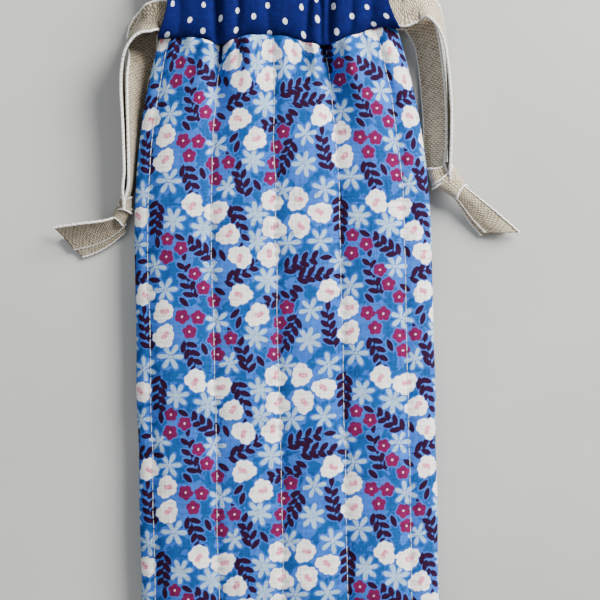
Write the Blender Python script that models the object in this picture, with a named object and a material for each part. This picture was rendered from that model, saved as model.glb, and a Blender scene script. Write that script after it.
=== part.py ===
"""Soft pouch glasses case: a quilted, lined fabric pouch closed by two tape drawstrings.

Metres, +Z up. The pouch lies flat on its back: X across, Y along (the mouth is at +Y), Z thick.
The origin is on the surface that it lies on, at the middle of the pouch's outline.
"""
import math

import bmesh
import bpy
from mathutils import Vector

MM = 0.001

# Overall sizes
POUCH_WIDTH = 94 * MM
FLORAL_LENGTH = 190 * MM  # the quilted body, from the bottom seam to the casing seam
GATHERED_WIDTH = 76 * MM  # across the casing seam, where the drawstrings gather the fabric
TAPER_LENGTH = 68 * MM  # the gathers fade out this far below the casing seam
CORNER_RADIUS = 5 * MM

# Fabric layers of each wall
OUTER_THICKNESS = 0.7 * MM
WADDING_THICKNESS = 1.3 * MM
LINING_THICKNESS = 0.5 * MM
LAYER_GAP = 0.3 * MM
CAVITY_HEIGHT = 5.2 * MM  # room left between the two linings
WADDING_MARGIN = 3 * MM  # the wadding and lining end this far inside the side edges
EDGE_ROUNDNESS = 8  # a higher power gives a squarer edge

# Quilting
QUILT_LINES = 5
QUILT_FIRST = -0.4521  # of the pouch's width, from its middle
QUILT_STEP = 0.2149  # of the pouch's width
PUFF_HEIGHT = 0.5 * MM
GROOVE_DEPTH = 1.0 * MM
GROOVE_HALF_WIDTH = 1.6 * MM
THREAD_WIDTH = 0.6 * MM
THREAD_HEIGHT = 0.4 * MM

# Drawstring tapes and their casings
TAPE_WIDTH = 10 * MM
TAPE_THICKNESS = 0.8 * MM
TAPE_SIDE_GAP = 0.6 * MM  # between the two tapes, side by side in a casing
CASING_WALL = 0.6 * MM
CASING_END_ROOM = 1.45 * MM  # between a tape and the fold of its casing
FRONT_CASING_THICKNESS = 3.7 * MM
CASING_WAIST = 0.91  # width at half height, as a share of the width at the seam
CASING_TOP = 0.95
GATHER_LENGTH = 24 * MM
FRONT_GATHER = 0.25 * MM
BACK_GATHER = 0.1 * MM
TURN_REACH = 5.5 * MM  # how far a tape stands out past the casing where it turns back
TAPE_INNER_END = 6 * MM  # from the middle, where the sliding length of a tape ends

# Heights that follow from the layers
WALL = OUTER_THICKNESS + WADDING_THICKNESS + LINING_THICKNESS + 2 * LAYER_GAP
MID_Z = WALL + CAVITY_HEIGHT / 2
FULL_DEPTH = MID_Z - OUTER_THICKNESS  # from the mid plane to the inner face of the outer fabric
SEAM_DEPTH = LAYER_GAP / 2  # the same distance at the side seams

# Lengths that follow
CASING_HEIGHT = 2 * (TAPE_WIDTH + CASING_END_ROOM + CASING_WALL) + TAPE_SIDE_GAP
TOTAL_LENGTH = FLORAL_LENGTH + LAYER_GAP + CASING_HEIGHT
BOTTOM_Y = -TOTAL_LENGTH / 2
SEAM_Y = BOTTOM_Y + FLORAL_LENGTH
CASING_Y = SEAM_Y + LAYER_GAP + CASING_HEIGHT / 2
TAPE_SHIFT = (TAPE_WIDTH + TAPE_SIDE_GAP) / 2
EXIT_Y = CASING_Y - TAPE_SHIFT  # middle of the tape that leaves at this end
TURN_Y = CASING_Y + TAPE_SHIFT  # middle of the tape that turns back at this end
HALF_WIDTH = POUCH_WIDTH / 2
FRONT_CASING_Z = MID_Z + CAVITY_HEIGHT / 2 + FRONT_CASING_THICKNESS / 2
BACK_CASING_THICKNESS = WALL
BACK_CASING_Z = BACK_CASING_THICKNESS / 2
QUILT_X = [(QUILT_FIRST + QUILT_STEP * i) * POUCH_WIDTH for i in range(QUILT_LINES)]

# Routes of the free tapes, in millimetres from the side edge (out), from the exit (drop) and from
# the table (height), with the tape's lean in degrees: 0 lies flat, 90 stands on its edge.
RIGHT_FRONT_ROUTE = (
    (-7, 0.2, 10.6, 0), (-3.2, -1.6, 10.9, -8), (0.6, -0.6, 10.2, -40), (3.4, 3.4, 9.6, -66),
    (5.2, 9, 8.4, -80), (6.2, 17, 7.0, -86), (6.7, 28, 6.2, -90), (6.7, 36, 6.0, -90),
    (6.3, 47, 5.8, -88),
)
RIGHT_BACK_ROUTE = (
    (-5, 0.5, 1.9, 0), (-2.4, 3, 2.2, 6), (-0.4, 7.5, 3.0, 32), (0.6, 13, 3.6, 40),
    (1.4, 21, 4.1, 42), (2.0, 33, 4.6, 43), (1.9, 47, 4.6, 45),
)
LEFT_FRONT_ROUTE = (
    (-8.2, 0.4, 10.4, 0), (-5.8, 2.2, 10.6, -38), (-3.4, 3.8, 10.4, -62), (-0.6, 6.6, 9.8, -74),
    (1.6, 11, 8.6, -82), (2.6, 17, 7.2, -88), (2.8, 23, 6.4, -90), (2.6, 30, 6.0, -90),
    (2.4, 38, 5.9, -90), (2.3, 48, 5.8, -90), (2.9, 53.5, 5.7, -90),
)
LEFT_BACK_ROUTE = (
    (-6.2, 0.75, 1.9, 0), (-3.9, 4.0, 2.1, 3), (-3.5, 7.4, 2.1, 7), (-3.4, 12, 2.9, 30),
    (-1.9, 19, 4.2, 50), (-1.4, 28, 4.6, 57), (-1.0, 38, 4.9, 64), (-0.2, 48, 5.1, 75),
    (0.6, 53.5, 5.2, 80),
)
RIGHT_KNOT = ((5.9, 53.6, 4.6), (6.2, 5.0, 4.2), -40)
LEFT_KNOT = ((3.3, 60.2, 4.0), (2.9, 5.4, 3.6), 0)
RIGHT_TAILS = (
    ((11.0, 58.5, 4.5, 0), (16.5, 64, 3.0, 0), (22.8, 70, 1.9, 0)),
    ((10.8, 59.0, 2.6, 0), (16.0, 64.6, 1.4, 0), (21.4, 69.8, 0.75, 0)),
)
LEFT_TAILS = (
    ((7.4, 65.2, 4.3, 0), (11, 66.8, 3.8, 0), (16, 67.9, 3.0, 0), (22.5, 68.9, 2.0, 0)),
    ((7.6, 67.4, 2.6, 0), (11, 69.0, 2.1, 0), (15, 70.4, 1.45, 0), (20, 71.8, 0.75, 0)),
)

COLOURS = {
    "floral cotton": (0.15, 0.30, 0.62), "wadding": (0.85, 0.84, 0.80),
    "navy spotted cotton": (0.02, 0.035, 0.24), "quilting thread": (0.72, 0.74, 0.72),
    "sewing thread": (0.25, 0.30, 0.50), "linen tape": (0.56, 0.47, 0.34),
}


def material(name, roughness=0.9):
    found = bpy.data.materials.get(name)
    if found:
        return found
    made = bpy.data.materials.new(name)
    made.use_nodes = True
    shader = made.node_tree.nodes["Principled BSDF"]
    shader.inputs["Base Color"].default_value = (*COLOURS[name], 1)
    shader.inputs["Roughness"].default_value = roughness
    return made


def add_object(name, points, faces, stuff):
    """One closed mesh, with its faces turned to point outwards."""
    mesh = bpy.data.meshes.new(name)
    shape = bmesh.new()
    corners = [shape.verts.new(p) for p in points]
    for face in faces:
        shape.faces.new([corners[i] for i in face])
    bmesh.ops.recalc_face_normals(shape, faces=shape.faces)
    shape.to_mesh(mesh)
    shape.free()
    mesh.materials.append(material(stuff))
    made = bpy.data.objects.new(name, mesh)
    bpy.context.collection.objects.link(made)
    return made


def grid_faces(rings, around):
    """Faces of a skin through closed rings of points, with a flat cap at each end."""
    faces = [
        (i * around + j, i * around + (j + 1) % around,
         (i + 1) * around + (j + 1) % around, (i + 1) * around + j)
        for i in range(rings - 1) for j in range(around)
    ]
    last = (rings - 1) * around
    return faces + [tuple(range(around)), tuple(range(last, last + around))]


# ---------------------------------------------------------------- the pouch's outline and depth

def half_width(y):
    """Half the pouch's width at y: rounded at the bottom corners, drawn in towards the casing."""
    inset = 0.0
    from_bottom = y - BOTTOM_Y
    if from_bottom < CORNER_RADIUS:
        rise = CORNER_RADIUS - from_bottom
        inset = CORNER_RADIUS - math.sqrt(max(0.0, CORNER_RADIUS**2 - rise**2))
    gathered = max(0.0, (y - SEAM_Y + TAPER_LENGTH) / TAPER_LENGTH)
    return HALF_WIDTH - inset - (HALF_WIDTH - GATHERED_WIDTH / 2) * gathered**2.2


def depth(x, y):
    """From the mid plane to the inner face of the outer fabric. x is on the full width."""
    across = min(1.0, abs(x) / HALF_WIDTH) ** EDGE_ROUNDNESS
    rounded = HALF_WIDTH  # the bottom edge is rounded like a side edge
    along = min(1.0, max(0.0, (BOTTOM_Y + rounded - y) / rounded)) ** EDGE_ROUNDNESS
    fall = math.sqrt(max(0.0, 1 - max(across, along)))
    return SEAM_DEPTH + (FULL_DEPTH - SEAM_DEPTH) * fall


def nearest_quilting(x):
    return min(abs(x - line) for line in QUILT_X)


def groove(x, y):
    """How far the quilting draws the fabric in. It fades where the wall is thin, at the edges."""
    inside = max(0.0, 1 - nearest_quilting(x) / GROOVE_HALF_WIDTH)
    return GROOVE_DEPTH * inside * depth(x, y) / FULL_DEPTH


def puff(x, y):
    if not QUILT_X[0] < x < QUILT_X[-1]:
        return 0.0
    across = (x - QUILT_X[0]) / (QUILT_X[1] - QUILT_X[0])
    return PUFF_HEIGHT * math.sin(math.pi * across) ** 2 * depth(x, y) / FULL_DEPTH


def front_skin(x, y):
    return MID_Z + depth(x, y) + puff(x, y) - groove(x, y)


def back_skin(x, y):
    return MID_Z - depth(x, y) + groove(x, y)


# ---------------------------------------------------------------- fabric walls

def columns(edge):
    """Places across a wall, on the full width: its edges, and three at every quilting line."""
    inner = HALF_WIDTH - WADDING_MARGIN
    found = {-HALF_WIDTH, HALF_WIDTH, -inner, inner}
    for share in (0.993, 0.975, 0.9):
        found |= {-HALF_WIDTH * share, HALF_WIDTH * share}
    for line in QUILT_X:
        found |= {line - GROOVE_HALF_WIDTH, line, line + GROOVE_HALF_WIDTH}
    for i in range(QUILT_LINES - 1):
        found.add((QUILT_X[i] + QUILT_X[i + 1]) / 2)
    kept = []
    lines = set(QUILT_X)
    for x in sorted(found, key=lambda c: (c not in lines, abs(c) not in (inner, HALF_WIDTH), c)):
        if abs(x) <= edge and all(abs(x - other) > 0.3 * MM for other in kept):
            kept.append(x)
    return sorted(kept)


def rows(bottom, top):
    """Places along a wall, closer together where it curves."""
    found = [BOTTOM_Y + step * MM for step in (0, 0.5, 1.5, 5.5, 10)]
    found += [BOTTOM_Y + WADDING_MARGIN, SEAM_Y - 2 * MM, SEAM_Y]
    found += [BOTTOM_Y + FLORAL_LENGTH * share for share in (0.15, 0.3, 0.45, 0.6, 0.72, 0.84, 0.93)]
    return [y for y in sorted(found) if bottom <= y <= top]


def wall(name, stuff, edge, bottom, top, lower, upper):
    """A layer of fabric between two height fields, drawn in with the pouch's outline."""
    across, along = columns(edge), rows(bottom, top)
    points, faces = [], []
    for field in (lower, upper):
        for y in along:
            drawn_in = half_width(y) / HALF_WIDTH
            points += [(x * drawn_in, y, field(x, y)) for x in across]
    m, n = len(across), len(along)
    layer = m * n
    for i in range(n - 1):
        for j in range(m - 1):
            a, b, c, d = i * m + j, i * m + j + 1, (i + 1) * m + j + 1, (i + 1) * m + j
            faces += [(a, b, c, d), (layer + a, layer + b, layer + c, layer + d)]
    border = list(range(m)) + [i * m + m - 1 for i in range(1, n)]
    border += [(n - 1) * m + j for j in range(m - 2, -1, -1)] + [i * m for i in range(n - 2, 0, -1)]
    for k, a in enumerate(border):
        b = border[(k + 1) % len(border)]
        faces.append((a, b, layer + b, layer + a))
    return add_object(name, points, faces, stuff)


def fabric_walls():
    inner_edge = HALF_WIDTH - WADDING_MARGIN
    inner_bottom = BOTTOM_Y + WADDING_MARGIN
    under = LAYER_GAP + WADDING_THICKNESS
    lining_in = under + LAYER_GAP + LINING_THICKNESS
    wall("outer_front", "floral cotton", HALF_WIDTH, BOTTOM_Y, SEAM_Y,
         front_skin, lambda x, y: front_skin(x, y) + OUTER_THICKNESS)
    wall("outer_back", "floral cotton", HALF_WIDTH, BOTTOM_Y, SEAM_Y,
         lambda x, y: back_skin(x, y) - OUTER_THICKNESS, back_skin)
    wall("wadding_front", "wadding", inner_edge, inner_bottom, SEAM_Y - 2 * MM,
         lambda x, y: MID_Z + depth(x, y) - under, lambda x, y: front_skin(x, y) - LAYER_GAP)
    wall("wadding_back", "wadding", inner_edge, inner_bottom, SEAM_Y - 2 * MM,
         lambda x, y: back_skin(x, y) + LAYER_GAP, lambda x, y: MID_Z - depth(x, y) + under)
    wall("lining_front", "navy spotted cotton", inner_edge, inner_bottom, SEAM_Y,
         lambda x, y: MID_Z + depth(x, y) - lining_in,
         lambda x, y: MID_Z + depth(x, y) - lining_in + LINING_THICKNESS)
    wall("lining_back", "navy spotted cotton", inner_edge, inner_bottom, SEAM_Y,
         lambda x, y: MID_Z - depth(x, y) + lining_in - LINING_THICKNESS,
         lambda x, y: MID_Z - depth(x, y) + lining_in)


# ---------------------------------------------------------------- threads

def thread(name, stuff, middle):
    """A thread of flat section through the places in middle."""
    wide, high = THREAD_WIDTH / 2, THREAD_HEIGHT / 2
    points = []
    for i, place in enumerate(middle):
        ahead = Vector(middle[min(i + 1, len(middle) - 1)]) - Vector(middle[max(i - 1, 0)])
        side = Vector((0, 0, 1)).cross(ahead).normalized() * wide
        for sign, up in ((-1, -1), (1, -1), (1, 1), (-1, 1)):
            points.append(Vector(place) + side * sign + Vector((0, 0, high * up)))
    return add_object(name, points, grid_faces(len(middle), 4), stuff)


def quilting_threads():
    """One line of running stitch down each groove, front and back, resting on the outer fabric."""
    off = OUTER_THICKNESS + LAYER_GAP + THREAD_HEIGHT / 2
    along = rows(BOTTOM_Y + WADDING_MARGIN, SEAM_Y)
    for number, line in enumerate(QUILT_X, 1):
        for side, skin, away in (("front", front_skin, off), ("back", back_skin, -off)):
            middle = [
                (line * half_width(y) / HALF_WIDTH, y, skin(line, y) + away) for y in along
            ]
            thread(f"quilting_thread_{side}_{number}", "quilting thread", middle)


def seam_threads():
    """The seam that joins the two walls, and the two that join the casings. All are hidden."""
    inset = WADDING_MARGIN * 0.55
    down = [SEAM_Y - 1 * MM - (SEAM_Y - BOTTOM_Y - 12 * MM) * i / 9 for i in range(10)]
    right = [((half_width(y) - inset), y, MID_Z) for y in down]
    corner = HALF_WIDTH - inset - 3.2 * MM
    right += [(corner + 2.2 * MM, BOTTOM_Y + inset + 3.4 * MM, MID_Z),
              (corner, BOTTOM_Y + inset + 0.6 * MM, MID_Z)]
    left = [(-x, y, z) for x, y, z in reversed(right)]
    thread("side_and_bottom_seam_thread", "sewing thread", right + left)
    # In the room past the end of the wadding, clear of the quilting grooves and of the lining.
    between = (GROOVE_DEPTH + WADDING_THICKNESS + 2 * LAYER_GAP) / 2
    stitched = SEAM_Y - 1 * MM
    for side, sign in (("front", 1), ("back", -1)):
        middle = []
        for i in range(17):
            x = HALF_WIDTH * 0.85 * (i / 8 - 1)
            high = depth(x, stitched) - between
            middle.append((x * half_width(stitched) / HALF_WIDTH, stitched, MID_Z + sign * high))
        thread(f"casing_seam_thread_{side}", "sewing thread", middle)


# ---------------------------------------------------------------- casings

def casing_half_length(y):
    """Half the casing's length along X: drawn in at the tapes, wider at the seam and the top."""
    high = (y - CASING_Y) / CASING_HEIGHT * 2  # -1 at the seam, 1 at the top
    ends = 1.0 if high < 0 else CASING_TOP
    return GATHERED_WIDTH / 2 * (CASING_WAIST + (ends - CASING_WAIST) * high**2)


def oval(half_height, half_thickness, count=20):
    """A flattened tube's section, as (y, z)."""
    points = []
    for i in range(count):
        turn = 2 * math.pi * (i + 0.5) / count
        c, s = math.cos(turn), math.sin(turn)
        points.append((half_height * math.copysign(abs(c) ** 0.25, c),
                       half_thickness * math.copysign(abs(s) ** 0.8, s)))
    return points


def casing(name, middle_z, thickness, gather):
    """A flat tube of fabric along X, open at both ends, with shallow gathers."""
    outside = oval(CASING_HEIGHT / 2, thickness / 2)
    inside = oval(CASING_HEIGHT / 2 - CASING_WALL, thickness / 2 - CASING_WALL)
    stations, around = 13, len(outside)
    points, faces = [], []
    for section in (outside, inside):
        for i in range(stations):
            share = -1 + 2 * i / (stations - 1)
            for dy, dz in section:
                x = share * casing_half_length(CASING_Y + dy)
                wave = gather * math.sin(2 * math.pi * share * GATHERED_WIDTH / 2 / GATHER_LENGTH)
                points.append((x, CASING_Y + dy, middle_z + dz + wave * (dz > 0)))
    skin = stations * around
    for layer in (0, skin):
        for i in range(stations - 1):
            for j in range(around):
                k = (j + 1) % around
                a, b = layer + i * around, layer + (i + 1) * around
                faces.append((a + j, a + k, b + k, b + j))
    for i in (0, stations - 1):
        for j in range(around):
            k, a = (j + 1) % around, i * around
            faces.append((a + j, a + k, skin + a + k, skin + a + j))
    return add_object(name, points, faces, "navy spotted cotton")


# ---------------------------------------------------------------- drawstrings

def tape_faces(places):
    """Faces of a tape with four corners at each place.

    Both its flat faces are split along the same diagonals, so they stay apart where it twists.
    """
    faces = [(0, 1, 2, 3), tuple(4 * places - 4 + corner for corner in range(4))]
    for i in range(places - 1):
        for j in range(4):
            here, beside = 4 * i + j, 4 * i + (j + 1) % 4
            if j == 2:
                faces += [(here, beside, here + 4), (beside, beside + 4, here + 4)]
            else:
                faces += [(here, beside, beside + 4), (here, beside + 4, here + 4)]
    return faces


def ribbon(name, route, side=1):
    """A length of tape through (x, y, z, lean) places. Side -1 mirrors it in X."""
    wide, thick = TAPE_WIDTH / 2, TAPE_THICKNESS / 2
    points = []
    places = [Vector(place[:3]) for place in route]
    for i, place in enumerate(places):
        ahead = (places[min(i + 1, len(places) - 1)] - places[max(i - 1, 0)]).normalized()
        level = Vector((0, 0, 1)).cross(ahead).normalized()
        upright = ahead.cross(level)
        lean = math.radians(route[i][3])
        across = level * math.cos(lean) + upright * math.sin(lean)
        out = ahead.cross(across)
        for a, b in ((-wide, -thick), (wide, -thick), (wide, thick), (-wide, thick)):
            corner = place + across * a + out * b
            points.append((side * corner.x, corner.y, corner.z))
    return add_object(name, points, tape_faces(len(places)), "linen tape")


def free_places(route):
    """A route's (out, drop, height, lean) in metres, from the side edge and the tape's exit."""
    return [(HALF_WIDTH + out * MM, EXIT_Y - drop * MM, high * MM, lean)
            for out, drop, high, lean in route]


def strand(name, route, casing_z, side):
    """A tape from inside its casing, out of the end and on to the knot."""
    leaves = casing_half_length(EXIT_Y) + 1 * MM
    inside = [(TAPE_INNER_END, EXIT_Y, casing_z, 0), ((TAPE_INNER_END + leaves) / 2, EXIT_Y,
              casing_z, 0), (leaves, EXIT_Y, casing_z, 0)]
    return ribbon(name, inside + free_places(route), side)


def turn(name, side):
    """Where the other tape leaves the front casing, turns round the side and enters the back one."""
    end = casing_half_length(TURN_Y)
    middle = (FRONT_CASING_Z + BACK_CASING_Z) / 2
    reach, rise = TURN_REACH, (FRONT_CASING_Z - BACK_CASING_Z) / 2
    route = [(TAPE_INNER_END, TURN_Y, FRONT_CASING_Z, 0), (end * 0.6, TURN_Y, FRONT_CASING_Z, 0)]
    for i in range(9):
        angle = math.pi / 2 - math.pi * i / 8
        route.append((end + reach * math.cos(angle), TURN_Y, middle + rise * math.sin(angle), 0))
    route += [(end * 0.6, TURN_Y, BACK_CASING_Z, 0), (TAPE_INNER_END, TURN_Y, BACK_CASING_Z, 0)]
    wide, thick = TAPE_WIDTH / 2, TAPE_THICKNESS / 2
    points = []
    for i, place in enumerate(route):
        before, after = route[max(i - 1, 0)], route[min(i + 1, len(route) - 1)]
        ahead = Vector((after[0] - before[0], 0, after[2] - before[2])).normalized()
        out = Vector((-ahead.z, 0, ahead.x))
        for a, b in ((-wide, -thick), (wide, -thick), (wide, thick), (-wide, thick)):
            points.append((side * (place[0] + out.x * b), place[1] + a, place[2] + out.z * b))
    return add_object(name, points, tape_faces(len(route)), "linen tape")


def knot(name, middle, radii, angle, side):
    """An overhand knot in both strands, as the rounded lump that it makes."""
    shape = bmesh.new()
    bmesh.ops.create_icosphere(shape, subdivisions=3, radius=1)
    turned = math.radians(angle)
    centre = free_places([(*middle, 0)])[0]
    points = []
    for corner in shape.verts:
        x, y, z = (corner.co[i] * radii[i] * MM for i in range(3))
        points.append((side * (centre[0] + x * math.cos(turned) - y * math.sin(turned)),
                       centre[1] + x * math.sin(turned) + y * math.cos(turned), centre[2] + z))
    faces = [tuple(v.index for v in face.verts) for face in shape.faces]
    shape.free()
    return add_object(name, points, faces, "linen tape")


def drawstring(hand, side, front_route, back_route, knot_sizes, tails):
    strand(f"{hand}_drawstring_front_strand", front_route, FRONT_CASING_Z, side)
    strand(f"{hand}_drawstring_back_strand", back_route, BACK_CASING_Z, side)
    knot(f"{hand}_drawstring_knot", *knot_sizes, side)
    for name, route in zip(("upper", "lower"), tails):
        ribbon(f"{hand}_drawstring_{name}_tail", free_places(route), side)
    turn(f"{hand}_drawstring_turn", -side)


def main():
    for old in list(bpy.data.objects):
        bpy.data.objects.remove(old)
    fabric_walls()
    quilting_threads()
    seam_threads()
    casing("casing_front", FRONT_CASING_Z, FRONT_CASING_THICKNESS, FRONT_GATHER)
    casing("casing_back", BACK_CASING_Z, BACK_CASING_THICKNESS, BACK_GATHER)
    drawstring("right", 1, RIGHT_FRONT_ROUTE, RIGHT_BACK_ROUTE, RIGHT_KNOT, RIGHT_TAILS)
    drawstring("left", -1, LEFT_FRONT_ROUTE, LEFT_BACK_ROUTE, LEFT_KNOT, LEFT_TAILS)


main()
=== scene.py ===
"""The looks of the soft pouch glasses case, on the CAD frame. Metres, +Z up."""

import math

import bpy
import numpy as np
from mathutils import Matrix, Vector


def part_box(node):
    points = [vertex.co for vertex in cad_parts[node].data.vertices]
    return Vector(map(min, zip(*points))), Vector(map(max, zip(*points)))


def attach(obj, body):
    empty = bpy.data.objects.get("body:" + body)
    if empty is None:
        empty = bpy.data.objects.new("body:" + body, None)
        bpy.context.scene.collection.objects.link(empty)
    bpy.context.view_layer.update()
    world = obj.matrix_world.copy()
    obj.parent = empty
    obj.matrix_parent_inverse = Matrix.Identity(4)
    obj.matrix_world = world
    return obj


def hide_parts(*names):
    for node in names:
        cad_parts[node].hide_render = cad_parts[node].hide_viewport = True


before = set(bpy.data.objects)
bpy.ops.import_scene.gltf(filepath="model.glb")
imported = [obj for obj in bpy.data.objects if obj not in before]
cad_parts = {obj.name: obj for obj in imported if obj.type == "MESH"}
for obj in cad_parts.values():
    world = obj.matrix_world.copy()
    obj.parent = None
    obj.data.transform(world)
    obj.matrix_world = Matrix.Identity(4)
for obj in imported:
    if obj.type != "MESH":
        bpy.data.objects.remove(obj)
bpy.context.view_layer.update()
MM = 0.001

# ---------------------------------------------------------------- camera, floor and light


def add_camera():
    """The camera, straight above the pouch."""
    data = bpy.data.cameras.new("camera")
    data.sensor_fit = "HORIZONTAL"
    data.angle = 2 * math.atan(0.09375 / 0.52)
    camera = bpy.data.objects.new("camera", data)
    bpy.context.collection.objects.link(camera)
    camera.location = (0.0050, -0.0003, 0.532)
    camera.rotation_euler = (0, 0, math.radians(-1.2))
    bpy.context.scene.camera = camera


def mesh_object(name, points, faces, smooth=True):
    """A new object from an array of points and one of faces that all have as many corners."""
    mesh = bpy.data.meshes.new(name)
    points = np.asarray(points, np.float32).reshape(-1, 3)
    faces = np.asarray(faces, np.int32)
    size = faces.shape[1]
    mesh.vertices.add(len(points))
    mesh.vertices.foreach_set("co", points.ravel())
    mesh.loops.add(faces.size)
    mesh.loops.foreach_set("vertex_index", faces.ravel())
    mesh.polygons.add(len(faces))
    mesh.polygons.foreach_set("loop_start", np.arange(0, faces.size, size, dtype=np.int32))
    mesh.update(calc_edges=True)
    mesh.validate()
    if smooth:
        mesh.polygons.foreach_set("use_smooth", np.ones(len(mesh.polygons), bool))
    made = bpy.data.objects.new(name, mesh)
    bpy.context.collection.objects.link(made)
    return made


def add_light(name, place, aim, size, power, colour=(1, 1, 1)):
    data = bpy.data.lights.new(name, "AREA")
    data.shape = "DISK"
    data.size = size
    data.energy = power
    data.color = colour
    lamp = bpy.data.objects.new(name, data)
    bpy.context.collection.objects.link(lamp)
    lamp.location = place
    lamp.rotation_euler = (Vector(aim) - Vector(place)).to_track_quat("-Z", "Y").to_euler()


# ---------------------------------------------------------------- shader nodes in short


class Nodes:
    """A material's node tree, with one method for each kind of node that this script uses."""

    def __init__(self, name):
        self.material = bpy.data.materials.new(name)
        self.material.use_nodes = True
        self.tree = self.material.node_tree
        self.shader = self.tree.nodes["Principled BSDF"]

    def put(self, socket, value):
        if isinstance(value, bpy.types.NodeSocket):
            self.tree.links.new(value, socket)
        elif isinstance(value, tuple) and len(value) == 3 and socket.type == "RGBA":
            socket.default_value = (*value, 1)
        else:
            socket.default_value = value

    def surface(self, colour, normal=None, **settings):
        """Sets the shader's colour, normal and plain numbers, such as roughness=0.9."""
        self.put(self.shader.inputs["Base Color"], colour)
        if normal is not None:
            self.put(self.shader.inputs["Normal"], normal)
        names = {"roughness": "Roughness", "specular": "Specular IOR Level", "sheen": "Sheen Weight",
                 "sheen_roughness": "Sheen Roughness"}
        for key, value in settings.items():
            self.shader.inputs[names[key]].default_value = value

    def math(self, kind, *values):
        node = self.tree.nodes.new("ShaderNodeMath")
        node.operation = kind
        for socket, value in zip(node.inputs, values):
            self.put(socket, value)
        return node.outputs[0]

    def attribute(self, name):
        node = self.tree.nodes.new("ShaderNodeAttribute")
        node.attribute_name = name
        return node.outputs["Vector"]

    def times(self, first, second):
        return self.math("MULTIPLY", first, second)

    def plus(self, first, second):
        return self.math("ADD", first, second)

    def ranged(self, value, scale, offset):
        """value times scale, plus offset."""
        return self.math("MULTIPLY_ADD", value, scale, offset)

    def parts(self, vector):
        node = self.tree.nodes.new("ShaderNodeSeparateXYZ")
        self.put(node.inputs[0], vector)
        return node.outputs

    def step(self, value, low, high, to_low=0.0, to_high=1.0):
        node = self.tree.nodes.new("ShaderNodeMapRange")
        node.interpolation_type = "SMOOTHSTEP"
        for socket, given in zip(node.inputs, (value, low, high, to_low, to_high)):
            self.put(socket, given)
        return node.outputs[0]

    def mix(self, share, first, second, blend="MIX"):
        node = self.tree.nodes.new("ShaderNodeMix")
        node.data_type = "RGBA"
        node.blend_type = blend
        self.put(node.inputs["Factor"], share)
        self.put(node.inputs[6], first)
        self.put(node.inputs[7], second)
        return node.outputs[2]

    def shaded(self, colour, shade):
        """A colour made darker by a shade from 0 to 1."""
        return self.mix(1.0, colour, self.mix(shade, (0, 0, 0), (1, 1, 1)), "MULTIPLY")

    def noise(self, where, scale, detail=2.0, roughness=0.5):
        node = self.tree.nodes.new("ShaderNodeTexNoise")
        self.put(node.inputs["Vector"], where)
        node.inputs["Scale"].default_value = scale
        node.inputs["Detail"].default_value = detail
        node.inputs["Roughness"].default_value = roughness
        return node.outputs["Fac"]

    def scaled(self, vector, sizes):
        node = self.tree.nodes.new("ShaderNodeVectorMath")
        node.operation = "MULTIPLY"
        self.put(node.inputs[0], vector)
        node.inputs[1].default_value = sizes
        return node.outputs[0]

    def bump(self, height, distance, strength=1.0, normal=None):
        node = self.tree.nodes.new("ShaderNodeBump")
        node.inputs["Strength"].default_value = strength
        node.inputs["Distance"].default_value = distance
        self.put(node.inputs["Height"], height)
        if normal is not None:
            self.put(node.inputs["Normal"], normal)
        return node.outputs[0]


def weave(nodes, cloth, pitch):
    """Height of a plain weave, 0 to 1: warp and weft threads passing over each other in turn."""
    u, v, _ = nodes.parts(nodes.scaled(cloth, (math.pi / pitch, math.pi / pitch, 0)))
    su, sv = nodes.math("SINE", u), nodes.math("SINE", v)
    cu, cv = nodes.math("COSINE", u), nodes.math("COSINE", v)
    over = nodes.times(nodes.times(su, sv), 0.5)
    ridges = nodes.math("MAXIMUM", nodes.math("ABSOLUTE", cu), nodes.math("ABSOLUTE", cv))
    return nodes.ranged(ridges, 0.5, over)


# Colours, as linear red, green and blue.
GROUND = (0.026, 0.122, 0.520)
GROUND_LIGHTER = (0.036, 0.150, 0.570)
TEAL = (0.004, 0.062, 0.250)
TEAL_LIGHTER = (0.006, 0.075, 0.270)
PALE = (0.34, 0.50, 0.68)
VEIN = (0.56, 0.70, 0.80)
CREAM = (0.94, 0.925, 0.90)
ROSE_SHADE = (0.62, 0.68, 0.74)
PINK = (0.74, 0.17, 0.27)
PINK_LIGHTER = (0.86, 0.50, 0.56)
BERRY_HEART = (0.84, 0.56, 0.66)
WINE = (0.020, 0.001, 0.020)
BERRY = (0.150, 0.006, 0.065)
NAVY = (0.0008, 0.0040, 0.078)
NAVY_LIGHTER = (0.0014, 0.0066, 0.104)
SPOT = (0.82, 0.85, 0.92)
# TAPE_DARK is painted shade in the weave's hollows and the tone of the tape's darker fibres;
# SELVEDGE_SHADE is painted shade between the selvedge's loops.
TAPE_LIGHT = (0.70, 0.60, 0.44)
TAPE_DARK = (0.12, 0.085, 0.052)
SELVEDGE = (0.87, 0.86, 0.82)
SELVEDGE_SHADE = (0.66, 0.63, 0.57)

COTTON_PITCH = 0.34 * MM
TAPE_WARP = 0.86 * MM
TAPE_WEFT = 0.62 * MM


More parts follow.
